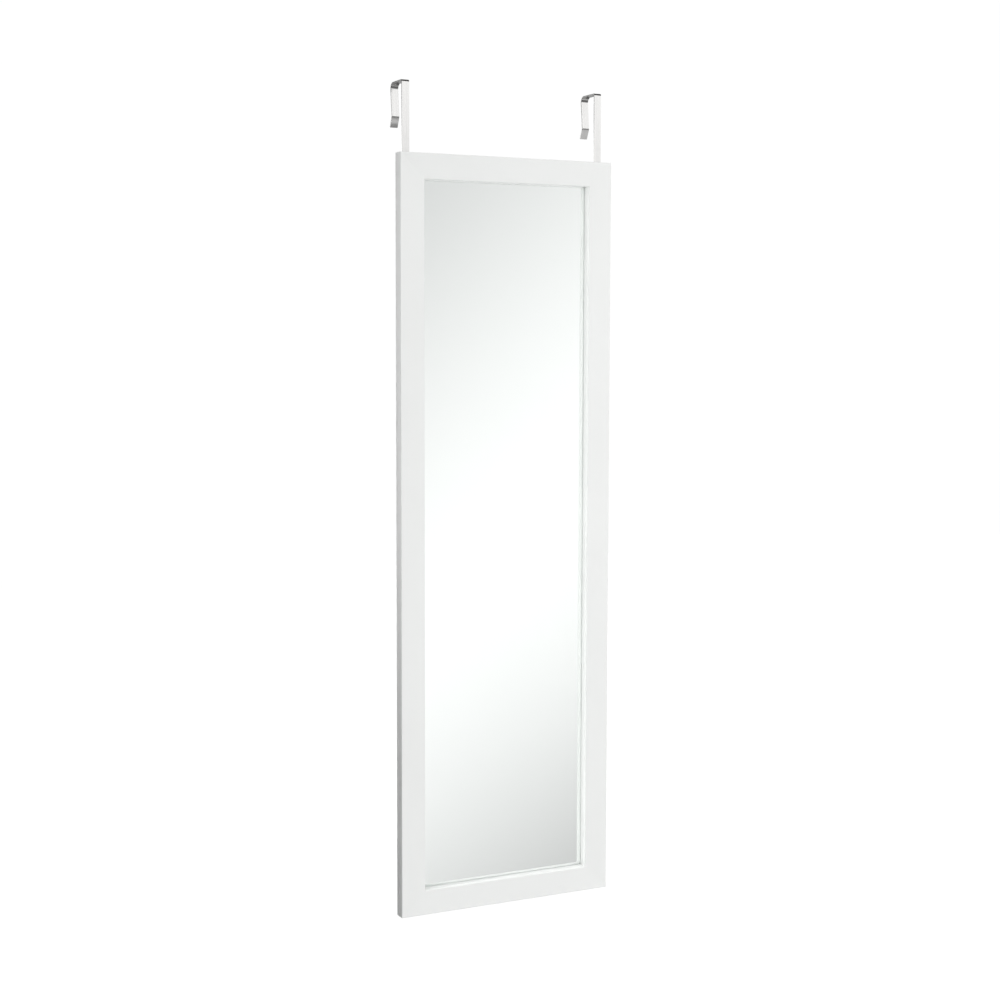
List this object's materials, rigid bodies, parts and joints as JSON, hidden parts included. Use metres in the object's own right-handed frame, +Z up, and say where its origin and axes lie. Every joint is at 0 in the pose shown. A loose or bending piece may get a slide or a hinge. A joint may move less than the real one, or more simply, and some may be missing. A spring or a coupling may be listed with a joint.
{
  "type": "over the door mirror",
  "caption": "Slim full-length mirror in a flat white frame, hung on bright metal strip hooks that go over the top of a door.",
  "frame": {"origin": "on the door's top front edge, midway between the two hooks: Y = 0 is the door's front face, where the pads rest, and Z = 0 is the door's top, where the hooks sit", "axes": "+Z up along the mirror's height, +X along its width to a viewer's right as they face the mirror, and +Y back into the door, so the mirror faces -Y"},
  "size_m": [0.37, 0.0663, 1.312],
  "materials": {
    "frame": "satin white lacquer on fibreboard",
    "pane": "clear float glass",
    "silvering": "silver coat",
    "sheet": "thin soft sheet",
    "board": "smooth hardboard",
    "fixing": "zinc plated steel",
    "pad": "soft rubber",
    "hook": "bright plated steel"
  },
  "bodies": {
    "mirror_frame": {"left_stile": "frame", "right_stile": "frame", "top_rail": "frame", "bottom_rail": "frame", "corner_nails": "fixing", "mirror_glass": "pane", "mirror_silver": "silvering", "cushion_sheet": "sheet", "back_board": "board", "turn_button_screws": "fixing", "pad_top_left": "pad", "pad_top_right": "pad", "pad_bottom_left": "pad", "pad_bottom_right": "pad", "clamp_washers": "fixing", "clamp_screws": "fixing"},
    "left_hook_body": {"left_hook": "hook"},
    "right_hook_body": {"right_hook": "hook"},
    "button_left_top": {"turn_button_left_top": "fixing"},
    "button_left_mid": {"turn_button_left_mid": "fixing"},
    "button_left_bottom": {"turn_button_left_bottom": "fixing"},
    "button_right_top": {"turn_button_right_top": "fixing"},
    "button_right_mid": {"turn_button_right_mid": "fixing"},
    "button_right_bottom": {"turn_button_right_bottom": "fixing"},
    "button_top": {"turn_button_top": "fixing"},
    "button_bottom": {"turn_button_bottom": "fixing"}
  },
  "joints": [
    {"name": "left_hook_slide", "type": "slide", "parent": "mirror_frame", "child": "left_hook_body", "axis": [0, 0, 1], "range_m": [-0.02, 0.03]},
    {"name": "right_hook_slide", "type": "slide", "parent": "mirror_frame", "child": "right_hook_body", "axis": [0, 0, 1], "range_m": [-0.02, 0.03]},
    {"name": "left_top_button_turn", "type": "hinge", "parent": "mirror_frame", "child": "button_left_top", "pos_m": [-0.156, 0, -0.27], "axis": [0, 1, 0], "range_deg": [-90, 90]},
    {"name": "left_mid_button_turn", "type": "hinge", "parent": "mirror_frame", "child": "button_left_mid", "pos_m": [-0.156, 0, -0.71], "axis": [0, 1, 0], "range_deg": [-90, 90]},
    {"name": "left_bottom_button_turn", "type": "hinge", "parent": "mirror_frame", "child": "button_left_bottom", "pos_m": [-0.156, 0, -1.15], "axis": [0, 1, 0], "range_deg": [-90, 90]},
    {"name": "right_top_button_turn", "type": "hinge", "parent": "mirror_frame", "child": "button_right_top", "pos_m": [0.156, 0, -0.27], "axis": [0, 1, 0], "range_deg": [-90, 90]},
    {"name": "right_mid_button_turn", "type": "hinge", "parent": "mirror_frame", "child": "button_right_mid", "pos_m": [0.156, 0, -0.71], "axis": [0, 1, 0], "range_deg": [-90, 90]},
    {"name": "right_bottom_button_turn", "type": "hinge", "parent": "mirror_frame", "child": "button_right_bottom", "pos_m": [0.156, 0, -1.15], "axis": [0, 1, 0], "range_deg": [-90, 90]},
    {"name": "top_button_turn", "type": "hinge", "parent": "mirror_frame", "child": "button_top", "pos_m": [0, 0, -0.139], "axis": [0, 1, 0], "range_deg": [-90, 90]},
    {"name": "bottom_button_turn", "type": "hinge", "parent": "mirror_frame", "child": "button_bottom", "pos_m": [0, 0, -1.281], "axis": [0, 1, 0], "range_deg": [-90, 90]}
  ]
}
